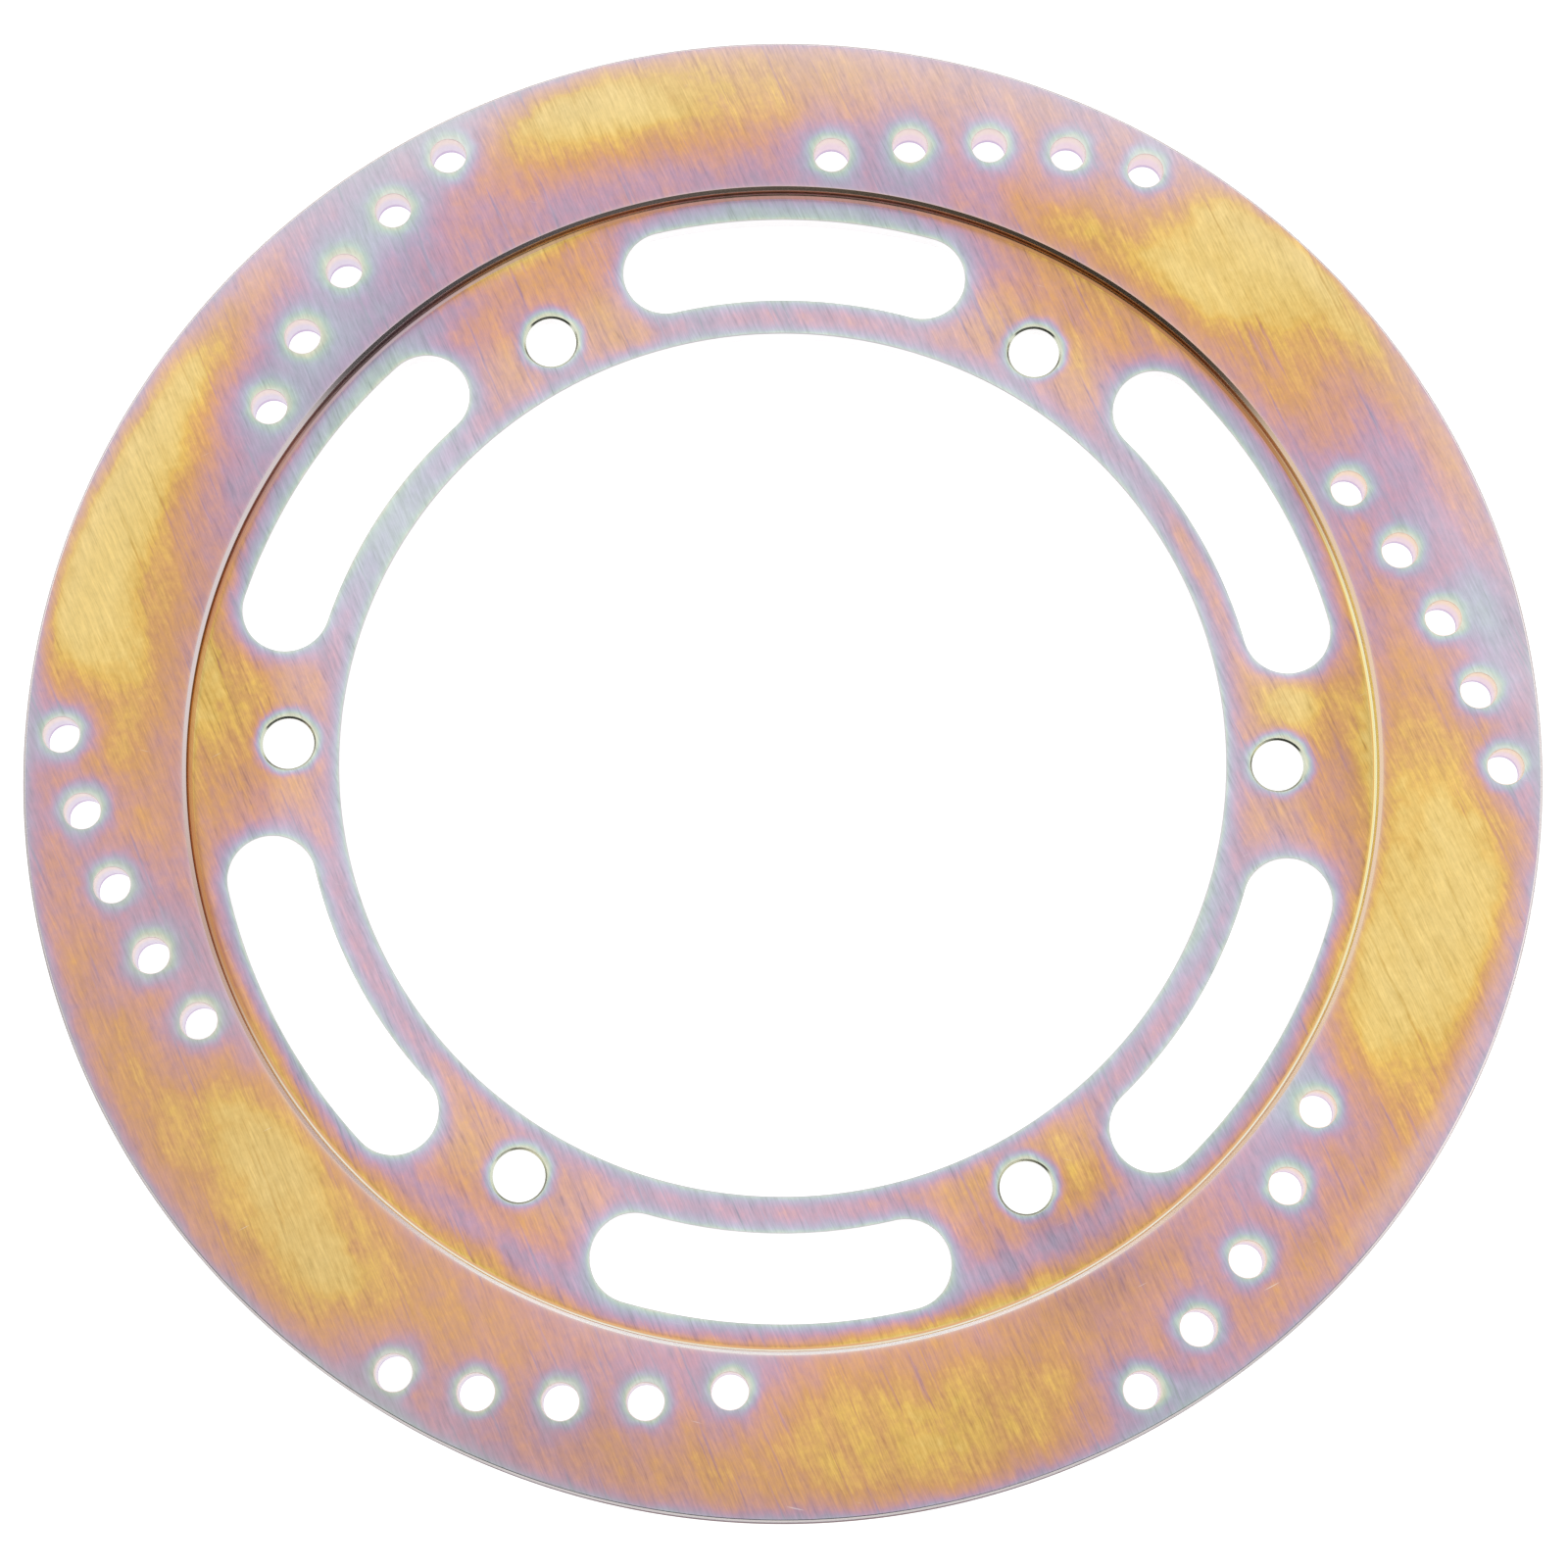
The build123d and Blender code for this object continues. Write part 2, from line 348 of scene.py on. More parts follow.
# Painted light and shade: these patches brighten (+) or darken (-) the ground metal under the film.
BAND_PAINTED_LIGHT = [
    (300, 103, 12, 12, -0.04), (258, 117, 10, 7, -0.05), (45, 118, 11, 10, -0.07),
    (165, 102, 16, 8, -0.02), (28, 113, 7, 8, -0.05), (290, 114, 6, 6, -0.03),
    (113, 115, 14, 7, -0.03), (342, 112, 12, 9, -0.03), (120, 116, 14, 10, 0.02),
    (300, 102, 12, 5, -0.04), (155, 123, 18, 3, 0.03), (335, 123, 16, 3, 0.05),
    (217, 100, 10, 3, 0.03), (255, 100, 6, 3, 0.03), (300, 101, 8, 4, -0.04),
    (322, 122, 10, 3, 0.045), (8, 122, 6, 3, 0.02), (120, 121, 6, 4, 0.03),
]
FLANGE_PAINTED_LIGHT = [
    (300, 91, 9, 7, -0.07), (0, 94, 8, 5, -0.05), (120, 89, 7, 6, -0.04), (45, 94, 8, 5, -0.04),
    (180, 89, 8, 6, -0.05), (12, 86, 5, 6, 0.03), (75, 86, 6, 8, 0.03), (285, 80, 8, 8, -0.02),
    (225, 86, 5, 6, 0.03), (270, 94, 18, 5, 0.05), (345, 90, 7, 6, 0.045), (15, 88, 5, 6, 0.05),
    (226, 88, 5, 6, 0.03), (165, 88, 5, 8, 0.03), (120, 96.5, 6, 2, 0.08), (225, 86, 5, 5, 0.02),
    (300, 86, 8, 9, -0.03), (262, 93, 10, 3, 0.03), (330, 94, 6, 3, 0.04), (345, 91, 6, 6, 0.02),
    (240, 96, 5, 2, 0.03),
]


def patches(x, y, base, table):
    degrees, radius = np.degrees(np.arctan2(y, x)), np.hypot(x, y)
    total = np.full(len(x), base)
    for middle, ring, half_turn, half_depth, strength in table:
        turn = np.mod(degrees - middle + 180, 360) - 180
        total += strength * np.exp(-((turn / half_turn) ** 2) - ((radius - ring) / half_depth) ** 2)
    return total


def film_field(x, y, z):
    """Film thickness in steps, blending from back to front over the lowest millimetre."""
    band, flange = patches(x, y, 7.2, BAND_PATCHES), patches(x, y, 5.6, FLANGE_PATCHES)
    front = np.where(np.hypot(x, y) > STEP_RADIUS + 0.02, band, flange)
    lift = np.clip(z / 1.0, 0, 1)
    return front * lift + patches(x, y, 6.3, BACK_PATCHES) * (1 - lift)


def painted_light_field(x, y, z):
    """Painted light and shade as a brightness offset: patches, plus broad drifts round the disc and
    across its rings, lighter toward the far outer edge and darker across the flange toward the
    step.
    """
    radius, angle = np.hypot(x, y), np.arctan2(y, x)
    band = (
        patches(x, y, -0.01, BAND_PAINTED_LIGHT)
        + 0.03 * np.cos(angle - math.radians(30))
        + (radius - 107) / 14 * (0.02 + 0.075 * np.cos(angle - math.radians(92)))
    )
    flange = patches(x, y, 0.045, FLANGE_PAINTED_LIGHT) - 0.085 * np.clip((radius - 83) / 12, 0, 1)
    flange = flange + 0.012 * np.sin(angle)
    return np.where(radius > STEP_RADIUS - 0.3, band, flange) * np.clip(z / 1.0, 0, 1)


def make_disc():
    build_surfaces()
    places = np.array(verts, dtype=float)
    mesh = bpy.data.meshes.new("brake_disc_body")
    mesh.from_pydata((places * MM).tolist(), [], faces)
    mesh.update()
    for name, domain, values in (
        ("film", "POINT", film_field(*places.T)),
        ("painted_light_shade", "POINT", painted_light_field(*places.T)),
        ("zone", "FACE", np.array(zones)),
    ):
        attribute = mesh.attributes.new(name, "FLOAT", domain)
        attribute.data.foreach_set("value", values.astype(np.float32))
    mesh.polygons.foreach_set("use_smooth", [True] * len(mesh.polygons))
    mesh.normals_split_custom_set_from_vertices([Vector(n).normalized() for n in normals])
    disc = bpy.data.objects.new("brake_disc_body", mesh)
    bpy.context.scene.collection.objects.link(disc)
    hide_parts("brake_disc")
    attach(disc, "root")
    mesh.materials.append(make_steel())


# ------------------------------------------------------------------ node helpers
class Value:
    """A node's output that takes plain arithmetic."""

    def __init__(self, tree, socket):
        self.tree, self.socket = tree, socket

    def __add__(self, other):
        return calc("ADD", self, other)

    __radd__ = __add__

    def __mul__(self, other):
        return calc("MULTIPLY", self, other)

    __rmul__ = __mul__

    def __sub__(self, other):
        return calc("SUBTRACT", self, other)

    def __rsub__(self, other):
        return calc("SUBTRACT", other, self)

    def __truediv__(self, other):
        return calc("DIVIDE", self, other)


def put(socket, value):
    if isinstance(value, Value):
        value.tree.links.new(value.socket, socket)
    else:
        socket.default_value = value


def add_node(tree, kind, inputs=None, output=0, **settings):
    """Adds a node, fills its inputs by name or number and gives one output."""
    node = tree.nodes.new(kind)
    for name, setting in settings.items():
        setattr(node, name, setting)
    for key, value in (inputs or {}).items():
        put(node.inputs[key], value)
    return Value(tree, node.outputs[output])


def calc(operation, *args, clamp=False):
    tree = next(arg.tree for arg in args if isinstance(arg, Value))
    inputs = dict(enumerate(args))
    return add_node(tree, "ShaderNodeMath", inputs, operation=operation, use_clamp=clamp)


maximum, minimum = partial(calc, "MAXIMUM"), partial(calc, "MINIMUM")
cosine, sine = partial(calc, "COSINE"), partial(calc, "SINE")
absolute = partial(calc, "ABSOLUTE")


def noise(x, y, z, scale=1.0, detail=2.0, rough=0.5):
    vector = add_node(x.tree, "ShaderNodeCombineXYZ", {0: x, 1: y, 2: z})
    inputs = {"Vector": vector, "Scale": scale, "Detail": detail, "Roughness": rough}
    return add_node(x.tree, "ShaderNodeTexNoise", inputs, noise_dimensions="3D")


def smooth(value, low, high, at_low=0.0, at_high=1.0):
    inputs = {"Value": value, "From Min": low, "From Max": high}
    inputs.update({"To Min": at_low, "To Max": at_high})
    return add_node(value.tree, "ShaderNodeMapRange", inputs, interpolation_type="SMOOTHSTEP")


def mix(factor, start, end):
    node = factor.tree.nodes.new("ShaderNodeMix")
    node.data_type, node.clamp_factor = "RGBA", True
    put(node.inputs["Factor"], factor)
    for name, colour in (("A", start), ("B", end)):
        put(next(s for s in node.inputs if s.name == name and s.type == "RGBA"), colour)
    return Value(factor.tree, next(s for s in node.outputs if s.type == "RGBA"))


def scaled(vector, factor):
    inputs = {0: vector, "Scale": factor}
    return add_node(vector.tree, "ShaderNodeVectorMath", inputs, operation="SCALE")


def split(vector):
    node = vector.tree.nodes.new("ShaderNodeSeparateXYZ")
    put(node.inputs[0], vector)
    return [Value(vector.tree, socket) for socket in node.outputs]


def decay(distance, width):
    return calc("EXPONENT", distance * (-1.0 / width))


def bell(squared, width):
    return calc("EXPONENT", squared * (-1.0 / width**2))


def thin(distance, amount, width):
    return maximum(1.0 - decay(distance, width) * amount, 0.0)


def turn_from(angle, degrees):
    return calc("WRAP", angle - math.radians(degrees), math.pi, -math.pi)


def near_angle(angle, degrees, width):
    turn = turn_from(angle, degrees)
    return bell(turn * turn, math.radians(width))


def distance_to(x, y, centre_x, centre_y):
    offset_x, offset_y = x - centre_x, y - centre_y
    return calc("SQRT", offset_x * offset_x + offset_y * offset_y)


def polar(x, y):
    return calc("SQRT", x * x + y * y), calc("ARCTAN2", y, x)


def fold(radius, angle, low):
    """Turns a point by sixths into the sixth that starts at low degrees."""
    folded = calc("WRAP", angle, math.radians(low + 60), math.radians(low))
    return radius * cosine(folded), radius * sine(folded)


def turned_axes(x, y, angle):
    """Coordinates across and along a direction."""
    cos, sin = math.cos(angle), math.sin(angle)
    return x * (-sin) + y * cos, x * cos + y * sin


def srgb(*channels):
    shares = [c / 255 for c in channels]
    return (*(s / 12.92 if s <= 0.04045 else ((s + 0.055) / 1.055) ** 2.4 for s in shares), 1.0)


# ------------------------------------------------------------------ disc material
# Right is +X, near is -Y, far is +Y. Colours are sRGB, 0 to 255.
WHITE = (1, 1, 1, 1)
GRAIN = math.radians(-65)  # direction of the straight grinding marks
FILM_COLOURS = [  # one for each whole step of film thickness
    (222, 222, 194), (190, 208, 200), (187, 190, 206), (190, 174, 198), (203, 163, 182),
    (217, 164, 150), (222, 168, 116), (234, 192, 106), (237, 204, 124), (239, 210, 136),
]
# Places round the rim: degrees, half width in degrees, strength
RIM_THICKER = [(164, 17, 0.20), (44, 16, 0.12), (322, 14, 0.12)]
RIM_GREEN = [(240, 26, 0.42), (8, 14, 0.38), (320, 24, 0.34), (165, 22, 0.22), (120, 12, 0.4)]


def film_colour(thickness):
    last = len(FILM_COLOURS) - 1
    node = thickness.tree.nodes.new("ShaderNodeValToRGB")
    elements = node.color_ramp.elements
    elements[0].color, elements[1].color = srgb(*FILM_COLOURS[0]), srgb(*FILM_COLOURS[last])
    for step in range(1, last):
        elements.new(step / last).color = srgb(*FILM_COLOURS[step])
    put(node.inputs[0], thickness / float(last))
    return Value(thickness.tree, node.outputs[0])


def edge_distances(x, y, z, radius, angle, wobble, wobble_two):
    """Distances to the walls and rings, most of them wandering a little."""
    # the small offsets make the film thin a little further on the far side of each hole
    moved = polar(x - 0.12 + (wobble - 0.5) * 1.2, y - 0.32 + (wobble_two - 0.5) * 1.2)
    vent_x, vent_y = fold(*moved, -15)
    # one row and the nearest vent of the row on either side
    outer, inner = ROW[0], ROW[-1]
    row = ROW + [(outer[0], outer[1] + math.pi / 3), (inner[0], inner[1] - math.pi / 3)]
    gaps = (distance_to(vent_x, vent_y, *from_polar(*place)) for place in row)
    vent = reduce(lambda one, other: calc("SMOOTH_MIN", one, other, 5.0), gaps)
    wander = noise(x, y, z, scale=0.35)
    vent = maximum(vent - VENT_RADIUS + (wander - 0.5) * 1.2, 0.0)

    fixing = distance_to(*fold(*moved, -30), FIXING_CIRCLE, 0.0)
    fixing = maximum(fixing - FIXING_RADIUS + (wander - 0.5) * 1.0, 0.0)

    folded = absolute(calc("WRAP", angle, math.radians(60), 0.0) - math.radians(30))
    slot_x, slot_y = radius * cosine(folded), radius * sine(folded)
    end = distance_to(slot_x, slot_y, *from_polar(SLOT_CIRCLE, SLOT_HALF_ANGLE))
    side = absolute(radius - SLOT_CIRCLE)
    past = calc("GREATER_THAN", folded, SLOT_HALF_ANGLE)
    slot = end * past + side * (1.0 - past) - SLOT_HALF_WIDTH + (wander - 0.5) * 0.7
    slot = maximum(slot, 0.0)

    bore = maximum(radius - BORE_RADIUS + (wander - 0.5) * 0.6, 0.0)
    rim = maximum(RIM_RADIUS - radius + (wobble - 0.5) * 1.2, 0.0)
    step = maximum(radius - BEVEL_RADIUS, 0.0)
    # the term times zero adds nothing
    vent_again = maximum(distance_to(vent_x, vent_y, 0.0, 0.0) * 0.0 + vent, 0.0)
    opening = minimum(minimum(slot, bore), vent_again)
    return SimpleNamespace(
        vent=vent, fixing=fixing, slot=slot, bore=bore, rim=rim, step=step,
        opening=opening, wander=wander,
    )


def film_share(edge, angle, wobble_two, on_band, top):
    """Share of the open-metal film left near edges."""
    near = edge.vent * (1.0 - maximum(cosine(angle - math.radians(150)), 0.0) * 0.22)
    ring = bell(near * near, width=1.5) * 0.38
    wide = decay(edge.vent, width=8.5) * ((wobble_two - 0.5) * 0.35 + 0.52)
    vent = maximum(1.0 - ring - wide, 0.0)
    rim_loss = cosine(angle - math.radians(250)) * 0.14 + 0.50
    for degrees, width, strength in RIM_THICKER:
        rim_loss = rim_loss - near_angle(angle, degrees, width) * strength
    rim = 1.0 - decay(edge.rim, width=2.3) * rim_loss - decay(edge.rim, width=0.5) * 0.24
    step = 1.0 - (1.0 - thin(edge.step, amount=0.27, width=5.5)) * top
    slot = thin(edge.slot, amount=0.90, width=1.95)
    bore = thin(edge.bore, amount=0.90, width=1.95)
    fixing = 1.0 - bell(edge.fixing * edge.fixing, width=1.4) * 0.98
    return vent * rim * step * on_band + slot * bore * fixing * (1.0 - on_band)


def grinding_grain(x, y, z, wobble):
    """Streaks along the grain at three sizes, soft blotches and sparse scratches."""
    across, along = turned_axes(x, y, GRAIN)
    across = across + (wobble - 0.5) * 0.5
    scratch = noise(across * 1.3 + 90.0, along * 0.045, z * 0.2, detail=1.5)
    return SimpleNamespace(
        fine=noise(across * 3.6, along * 0.26, z * 0.4, rough=0.6),
        medium=noise(across * 1.25 + 40.0, along * 0.085, z * 0.2, rough=0.55),
        coarse=noise(across * 0.42 - 17.0, along * 0.05, z * 0.1),
        mottle=noise(x, y, z, scale=0.9, detail=3.0, rough=0.6),
        cloud=noise(x + 11.0, y + 5.0, z, scale=0.07, detail=3.0, rough=0.55),
        patchy=noise(x - 31.0, y + 57.0, z, scale=0.22),
        scratch=smooth(scratch, 0.64, 0.74),
    )


def uneven_film(thickness, grain, on_flange):
    """Grain and blotches in the film; thin film next to edges stays even."""
    streaks = (
        (grain.fine - 0.5) * 0.8
        + (grain.medium - 0.5) * (0.9 + on_flange * 0.3)
        + (grain.coarse - 0.5) * (1.6 + on_flange * 0.4)
    )
    hold = smooth(thickness, 0.3, 4.5)
    blotches = streaks + (grain.mottle - 0.5) * 1.1 + (grain.patchy - 0.5) * 1.1
    return thickness + (blotches + (grain.cloud - 0.5) * 1.8 - grain.scratch * 0.9) * hold


def grinding_marks(grain, on_flange):
    """Brightness of the grinding marks, darkest in the deeper ones."""
    deep = smooth(grain.medium * 0.5 + grain.fine * 0.5, 0.30, 0.44, 1.0, 0.0)
    return (
        (grain.fine - 0.5) * 0.24
        + (grain.medium - 0.5) * (0.09 + on_flange * 0.08)
        + (grain.coarse - 0.5) * (0.05 + on_flange * 0.07)
        + (grain.mottle - 0.5) * 0.10
        + (grain.cloud - 0.5) * 0.10
        - deep * (0.02 + on_flange * 0.02)
        - grain.scratch * 0.05
    )


def cross_nicks(x, y, z):
    """Light nicks in two directions across the grain."""
    layers = []
    for degrees, shift in ((28, 0.0), (-12, 13.0)):
        across, along = turned_axes(x, y, math.radians(degrees))
        streak = noise(across * 2.4 + shift, along * 0.14, z * 0.1, detail=1.0)
        layers.append(smooth(streak, 0.80, 0.86))
    return maximum(*layers)


def edge_tints_and_painted_light(colour, edge, nicks, radius, angle, on_band, top):
    """Colours beside edges and the step: a painted wash on part of the band, nicks, thin lines of
    film, and painted light: shade at the foot of the step, highlights along the openings and the
    band's inner lip, and a darker reflection by the near rim.
    """
    # painted wash of light: the band is paler and duller toward 226 degrees
    painted_sector_wash = bell(turn_from(angle, 226) * turn_from(angle, 226), width=0.75)
    colour = mix(painted_sector_wash * on_band * 0.16, colour, srgb(208, 172, 140))
    # painted shade at the foot of the step: a faint dark line, then a darker reddish arc on one
    # side
    foot_shade_line = bell((radius - 97.12) * (radius - 97.12), width=0.16) * top
    colour = scaled(colour, 1.0 - foot_shade_line * 0.08)
    foot_shade_arc = bell((radius - 97.25) * (radius - 97.25), width=0.4)
    foot_shade_arc = foot_shade_arc * near_angle(angle, 200, width=13) * top * (1.0 - on_band)
    colour = mix(foot_shade_arc * 0.6, colour, srgb(172, 106, 100))
    # painted highlight: a pale glow round the edges of the openings
    colour = mix(decay(edge.opening, width=0.22) * 0.30, colour, srgb(246, 244, 236))
    colour = mix(nicks * 0.35, colour, (0.95, 0.93, 0.9, 1))
    # painted highlight: a pale lip round the inside of the band, stronger on the near side
    lip_highlight = decay(maximum(radius - BEVEL_RADIUS, 0.0), width=0.3) * on_band * top
    strength = 0.28 + 0.25 * smooth(sine(angle), -0.15, -0.7)
    colour = mix(lip_highlight * strength, colour, srgb(236, 219, 212))
    # greenish arcs of thin film beside the rim, with a painted reflection darkening them on the
    # near side
    skirt = decay(edge.rim, width=0.9) * on_band * top
    green = reduce(add, (near_angle(angle, at, width) * much for at, width, much in RIM_GREEN))
    tint = mix(smooth(sine(angle), -0.2, -0.7), srgb(206, 216, 208), srgb(172, 190, 182))
    return mix(skirt * green, colour, tint)


def hole_walls(colour, zone, z, angle):
    """Hole walls: thin film, nearly bare, with a painted sheen that makes them palest at grazing
    view.
    """
    # painted sheen: the walls of the bore, slots and fixing holes go toward white as the view
    # grazes them
    facing = add_node(z.tree, "ShaderNodeLayerWeight", {"Blend": 0.5}, output="Facing")
    wall_with_painted_sheen = mix(smooth(facing, 0.35, 0.75), srgb(212, 209, 213), srgb(253, 251, 251))
    # vents: violet at the bottom, warm at the top
    middle = mix(smooth(cosine(angle), 0.1, -0.6), srgb(242, 221, 231), srgb(232, 222, 236))
    vent = mix(smooth(z, 1.5, 0.5), middle, srgb(206, 186, 218))
    upper = mix(smooth(cosine(angle), 0.4, 0.9), srgb(246, 229, 222), srgb(250, 226, 200))
    vent = mix(smooth(z, 2.4, 5.0), vent, upper)
    colour = mix(is_zone(zone, VENT_WALL), colour, vent)
    colour = mix(is_zone(zone, FLANGE_WALL), colour, wall_with_painted_sheen)
    front_mouth = smooth(z, FLANGE_TOP - 0.45, FLANGE_TOP - 0.32)
    mouth = maximum(front_mouth, smooth(z, 0.32, 0.45, 1.0, 0.0))
    return mix(is_zone(zone, FIXING_WALL), colour, mix(mouth, wall_with_painted_sheen, srgb(222, 226, 206)))


def step_colour_and_painted_light(colour, z, angle):
    """Turned step, from the flange up: fillet, wall, bevel, with painted light and shade set by the
    side of the disc. Limits on z are heights.
    """
    side, depth = cosine(angle), sine(angle)
    right = smooth(side, 0.25, 0.75)
    near = smooth(depth, -0.15, -0.7)
    far = smooth(depth, 0.25, 0.6)
    # painted highlight and shade on the fillet: gold and near white on the right and near sides,
    # browner on the far side and toward 200 degrees, grey toward 134 degrees
    low_gold = mix(smooth(z, 3.515, 3.545), srgb(228, 184, 110), srgb(255, 240, 172))
    gold = mix(smooth(z, 3.58, 3.72), low_gold, srgb(255, 252, 212))
    fillet = mix(right, srgb(198, 138, 92), gold)
    near_tone = mix(smooth(z, 3.53, 3.63), srgb(228, 178, 130), srgb(255, 252, 234))
    fillet = mix(near, fillet, near_tone)
    far_tone = mix(smooth(z, 3.62, 3.80), srgb(176, 124, 84), srgb(220, 172, 126))
    fillet = mix(far, fillet, far_tone)
    fillet = mix((1.0 - near) * (1.0 - right) * 0.35, fillet, colour)
    fillet = mix(near_angle(angle, 200, width=14) * 0.5, fillet, srgb(178, 120, 72))
    grey = mix(smooth(z, 3.55, 3.75), srgb(190, 176, 186), srgb(104, 88, 94))
    fillet = mix(near_angle(angle, 134, width=17) * 0.75, fillet, grey)

    # painted shade and highlight on the step wall: dark, lighter on the far side, near white on the
    # right and near sides
    wall = mix(far, srgb(78, 58, 46), srgb(196, 156, 122))
    wall = mix(near_angle(angle, 134, width=17) * 0.8, wall, srgb(110, 92, 96))
    wall = mix(smooth(side, 0.70, 0.86), wall, srgb(255, 246, 200))
    lower = mix(smooth(z, 4.08, 4.26), fillet, mix(near, wall, srgb(255, 244, 228)))

    # painted reflection on the bevel: pale, near white on the near side, dimmer toward 198 to 211
    # degrees
    bevel = mix(smooth(side, 0.2, -0.6), srgb(236, 208, 180), srgb(222, 210, 210))
    bevel = mix(smooth(depth, -0.70, -0.93), bevel, srgb(255, 251, 246))
    dim = turn_from(angle, 211)
    bevel = mix(bell(dim * dim, width=0.36) * 0.85, bevel, srgb(206, 174, 156))
    bevel = mix(near_angle(angle, 198, width=12) * 0.55, bevel, srgb(176, 138, 118))
    bevel = mix(smooth(z, BAND_TOP - 0.08, BAND_TOP - 0.01), bevel, colour)
    return mix(smooth(z, 5.33, 5.41), lower, bevel)


def rim_colour(colour, z, angle, rim_edge):
    """Turned rim: fine lines round it, thinner film, and a painted reflection at both edges in pale
    bands, greyer on the near left.
    """
    lathe = noise(angle * 9.0, z * 4.5, 2.0, detail=3.0, rough=0.6)
    drift = noise(angle * 2.5, z * 0.35, 7.0)
    turn = absolute(turn_from(angle, 250))
    near_left = smooth(turn, math.radians(58), math.radians(84), 1.0, 0.0)
    film = 4.6 + (lathe - 0.5) * 2.2 + (drift - 0.5) * 5.0
    film = film * (1.0 - decay(rim_edge, width=0.55) * 0.75)
    rim = scaled(film_colour(film), 1.0 + (lathe - 0.5) * 0.35)
    # painted reflection: pale bands at both edges, greyer toward 250 degrees
    edge_reflection_bands = mix(near_left, srgb(242, 230, 228), srgb(198, 191, 190))
    rim = mix(smooth(rim_edge, 0.5, 0.3), rim, edge_reflection_bands)
    return mix(smooth(rim_edge, 0.10, 0.03), rim, colour)


def is_zone(zone, number):
    return calc("COMPARE", zone, float(number), 0.3)


def make_steel():
    """Ground steel under an uneven film, with turned step and rim."""
    material = bpy.data.materials.new("disc_steel")
    material.use_nodes = True
    tree = material.node_tree
    tree.nodes.clear()
    x, y, z = split(scaled(add_node(tree, "ShaderNodeTexCoord", output="Object"), 1000.0))
    zone, film, painted_light_shade = (
        add_node(tree, "ShaderNodeAttribute", output="Fac", attribute_name=name)
        for name in ("zone", "film", "painted_light_shade")
    )
    wobble = noise(x, y, z, scale=0.16)
    wobble_two = noise(x + 71.0, y - 33.0, z, scale=0.16)
    radius, angle = polar(x, y)
    edge = edge_distances(x, y, z, radius, angle, wobble, wobble_two)
    top = smooth(z, 0.5, 1.5)
    on_band = smooth(radius, 97.9, 98.5)

    film = film * film_share(edge, angle, wobble_two, on_band, top)
    foot = decay(absolute(radius - FOOT_RADIUS), width=0.6) * (1.0 - on_band) * top
    film = film + foot * 1.2
    # gold areas have a flat middle and a quick edge
    film = film + smooth(film + (edge.wander - 0.5) * 1.2, 6.55, 7.35) * 0.8
    grain = grinding_grain(x, y, z, wobble)
    on_flange = 1.0 - on_band
    film = uneven_film(film, grain, on_flange)

    # painted light washes the colour toward white, gold least; painted shade and the grinding marks
    # scale the colour
    colour = film_colour(film)
    gold = smooth(film, 5.5, 8.0)
    painted_light_wash = calc("MULTIPLY", maximum(painted_light_shade, 0.0) * (2.6 - gold * 1.2), 1.0, clamp=True)
    colour = mix(minimum(painted_light_wash, 0.6), colour, WHITE)
    marks = grinding_marks(grain, on_flange)
    colour = scaled(colour, minimum(painted_light_shade, 0.0) * 1.6 + marks * 2.1 + 1.0)
    nicks = cross_nicks(x, y, z)
    colour = edge_tints_and_painted_light(colour, edge, nicks, radius, angle, on_band, top)
    colour = hole_walls(colour, zone, z, angle)
    colour = mix(is_zone(zone, STEP), colour, step_colour_and_painted_light(colour, z, angle))
    rim_edge = minimum(z, BAND_TOP - z)
    colour = mix(is_zone(zone, RIM), colour, rim_colour(colour, z, angle, rim_edge))

    # turned surfaces are smoother and have no grain
    turned = maximum(is_zone(zone, RIM), is_zone(zone, FIXING_WALL))
    turned = maximum(is_zone(zone, STEP), turned)
    rim_wall = is_zone(zone, RIM) * smooth(rim_edge, 0.3, 0.5)
    rough = 0.34 + (grain.medium - 0.5) * 0.12 + (grain.mottle - 0.5) * 0.10
    rough = rough * (1.0 - turned) + turned * 0.17
    # the fixing walls' own share is nil
    rough = rough + is_zone(zone, FIXING_WALL) * 0.0 + rim_wall * 0.16
    height = (grain.fine * 0.6 + grain.medium * 0.4 + grain.mottle * 0.15) * (1.0 - turned)
    bump = {"Strength": 0.35, "Distance": 0.00002, "Height": height}
    rim_tint = is_zone(zone, RIM) * smooth(rim_edge, 0.3, 0.5)
    tangent = {0: math.cos(GRAIN), 1: math.sin(GRAIN)}
    shader = add_node(tree, "ShaderNodeBsdfPrincipled", {
        "Base Color": colour,
        "Specular Tint": mix(rim_tint, WHITE, srgb(110, 107, 108)),
        "Metallic": 1.0,
        "Roughness": rough,
        "Anisotropic": 0.45,
        "Tangent": add_node(tree, "ShaderNodeCombineXYZ", tangent),
        "Normal": add_node(tree, "ShaderNodeBump", bump),
    })
    put(tree.nodes.new("ShaderNodeOutputMaterial").inputs[0], shader)
    return material


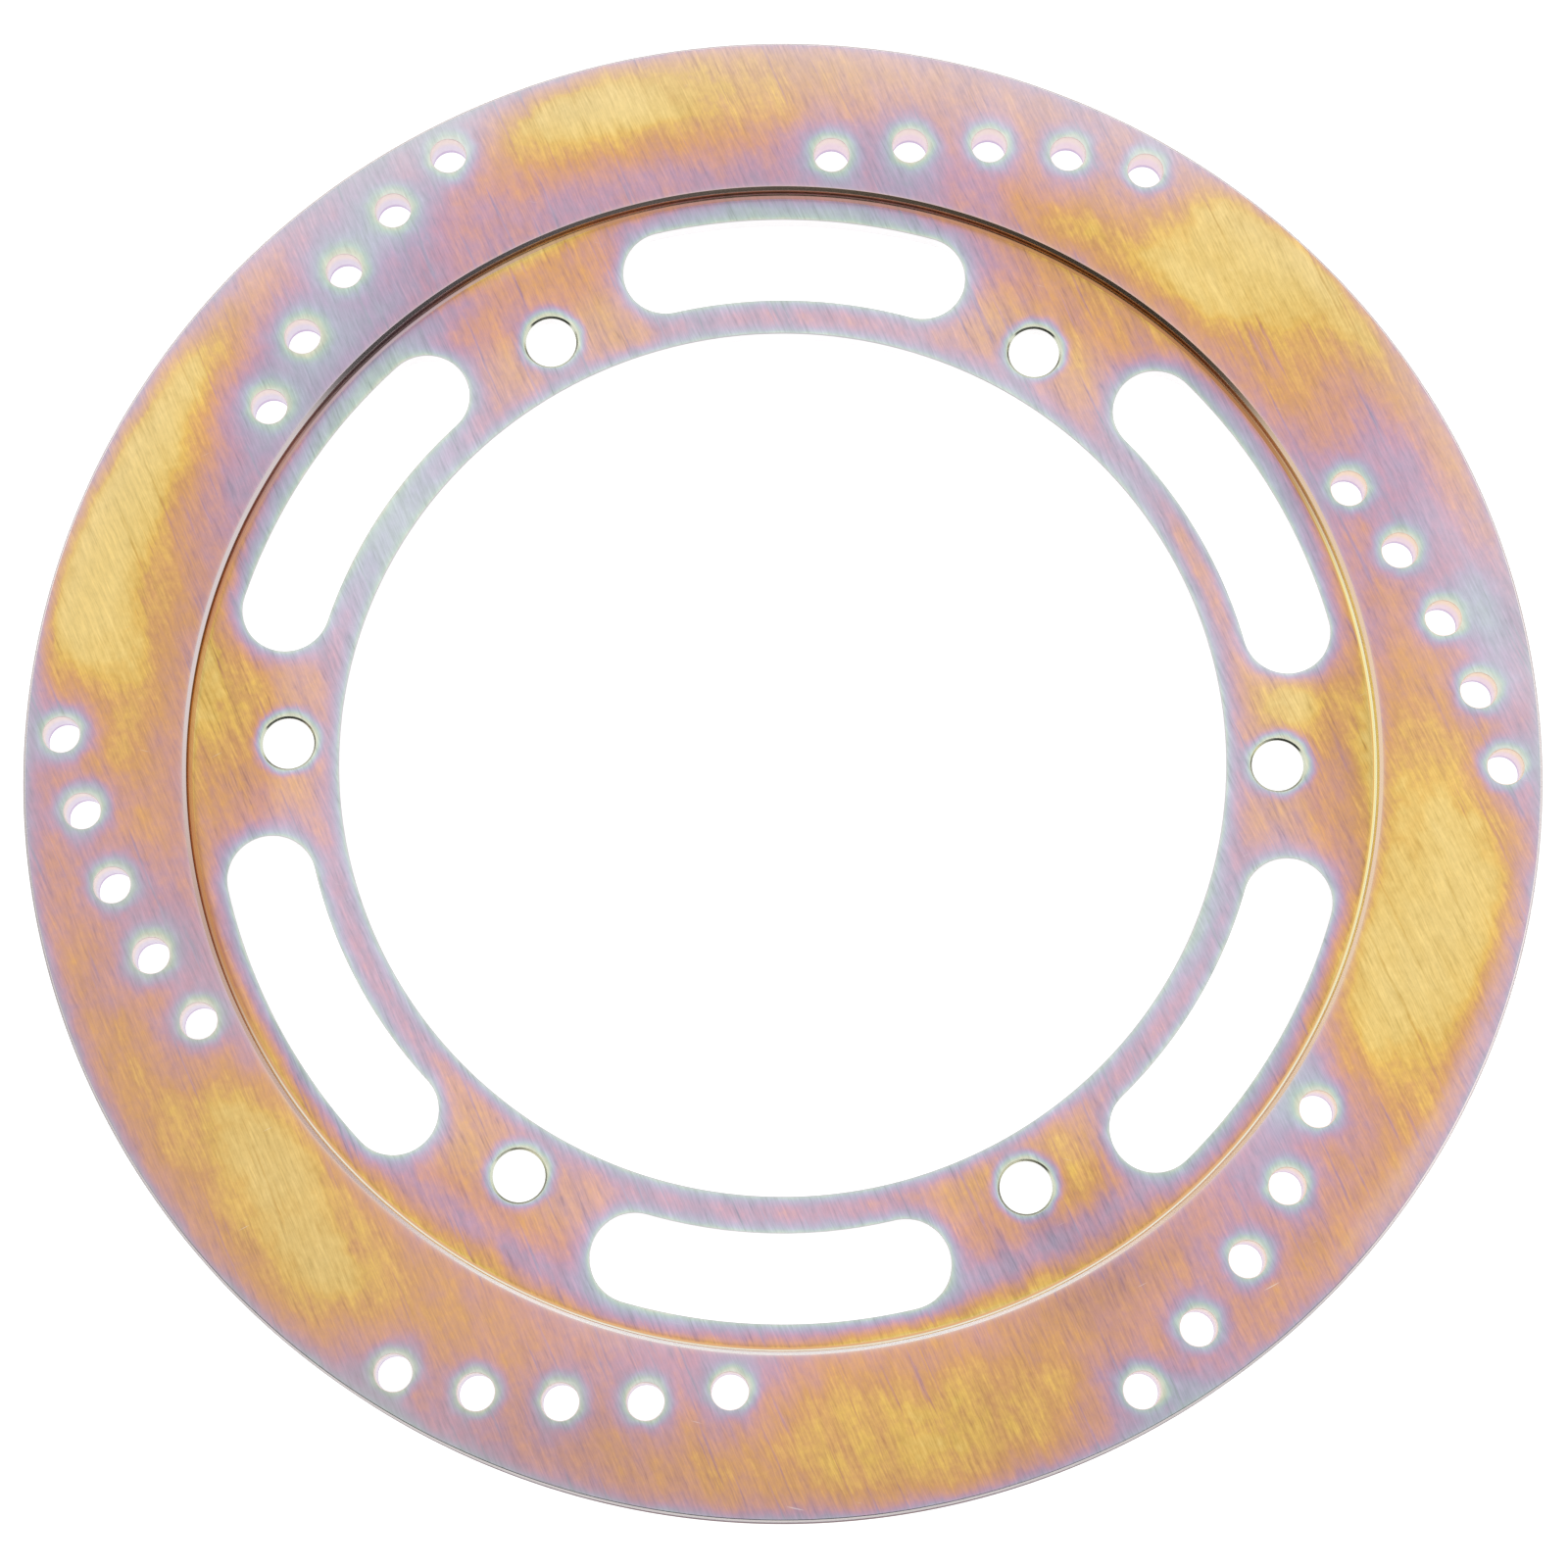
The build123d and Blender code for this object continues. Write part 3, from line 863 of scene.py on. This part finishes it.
# ------------------------------------------------------------------ stage
def make_floor(half=6.0, z=-0.0003):
    """Matt floor just under the disc, a little brighter to the camera; metres."""
    mesh = bpy.data.meshes.new("floor")
    corners = [(-half, -half, z), (half, -half, z), (half, half, z), (-half, half, z)]
    mesh.from_pydata(corners, [], [(0, 1, 2, 3)])
    floor = bpy.data.objects.new("floor", mesh)
    bpy.context.scene.collection.objects.link(floor)
    material = bpy.data.materials.new("floor")
    material.use_nodes = True
    tree = material.node_tree
    inputs = tree.nodes["Principled BSDF"].inputs
    inputs["Roughness"].default_value = 0.9
    inputs["Base Color"].default_value = (0.45, 0.45, 0.45, 1)
    inputs["Emission Color"].default_value = WHITE
    glow = inputs["Emission Strength"]
    glow.default_value = 0.75
    camera_ray = add_node(tree, "ShaderNodeLightPath", output="Is Camera Ray")
    put(glow, camera_ray * 0.20 + glow.default_value)
    mesh.materials.append(material)


def band_of_sky(elevation, bottom, top):
    """One between two soft limits; each limit is a pair of degrees."""
    rise = smooth(elevation, *map(math.radians, bottom))
    return rise * smooth(elevation, *map(math.radians, top), 1.0, 0.0)


def sector(azimuth, middle, half, soft):
    turn = absolute(turn_from(azimuth, middle))
    return smooth(turn, math.radians(half - soft), math.radians(half + soft), 1.0, 0.0)


def make_world():
    """Even white studio; a low dark flag toward -Y gives turned edges their dark line."""
    world = bpy.data.worlds.new("studio")
    bpy.context.scene.world = world
    world.use_nodes = True
    tree = world.node_tree
    tree.nodes.clear()
    x, y, z = split(add_node(tree, "ShaderNodeTexCoord", output="Generated"))
    elevation = calc("ARCSINE", z)
    azimuth = calc("ARCTAN2", y, x)
    # multiplied one factor at a time, left to right
    flags = []
    for (middle, half, soft), bottom, top in (
        ((270, 64, 4), (7, 11), (24, 32)),
        ((251, 38, 8), (-4, 0), (9, 13)),
    ):
        part = sector(azimuth, middle, half, soft)
        part = part * smooth(elevation, *map(math.radians, bottom))
        flags.append(part * smooth(elevation, *map(math.radians, top), 1.0, 0.0))
    flag = maximum(*flags)
    # soft falloff away from overhead
    falloff = smooth(elevation, math.radians(22), math.radians(60), 1.0, 0.0)
    falloff = falloff * smooth(elevation, math.radians(8), math.radians(20))
    unseen = 1.0 - add_node(tree, "ShaderNodeLightPath", output="Is Camera Ray")
    level = 1.0 - maximum(flag * 0.97, falloff * 0.16) * unseen
    sky = add_node(tree, "ShaderNodeBackground", {"Strength": level, "Color": WHITE})
    put(tree.nodes.new("ShaderNodeOutputWorld").inputs[0], sky)


# ------------------------------------------------------------------ camera
CAMERA_PLACE = (2.9875, -150.32, 628.02 + BAND_TOP)
ROLL, PITCH, YAW = 0.0099, -0.2264, 0.0043  # radians
SPIN = 0.013626  # radians the whole view is turned about Z


def rotation(axis, angle):
    one, two = (axis + 1) % 3, (axis + 2) % 3
    matrix = Matrix.Identity(3)
    matrix[one][one] = matrix[two][two] = math.cos(angle)
    matrix[one][two] = -math.sin(angle)
    matrix[two][one] = math.sin(angle)
    return matrix


def make_camera():
    lens = bpy.data.cameras.new("camera")
    lens.sensor_width = 36.0
    lens.lens = 90.117
    lens.clip_start, lens.clip_end = 0.01, 50
    camera = bpy.data.objects.new("camera", lens)
    bpy.context.scene.collection.objects.link(camera)
    flip = Matrix(((1, 0, 0), (0, -1, 0), (0, 0, -1)))
    look = flip @ (rotation(2, ROLL) @ rotation(0, PITCH) @ rotation(1, YAW)) @ flip
    facing = rotation(2, SPIN) @ look.transposed()
    place = rotation(2, SPIN) @ Vector(CAMERA_PLACE) * MM
    camera.matrix_world = Matrix.Translation(place) @ facing.to_4x4()
    bpy.context.scene.camera = camera


make_disc()
make_floor()
make_world()
make_camera()

view = bpy.context.scene.view_settings
view.view_transform = "Standard"
view.look = "None"
view.exposure = 0.0
view.gamma = 1.0
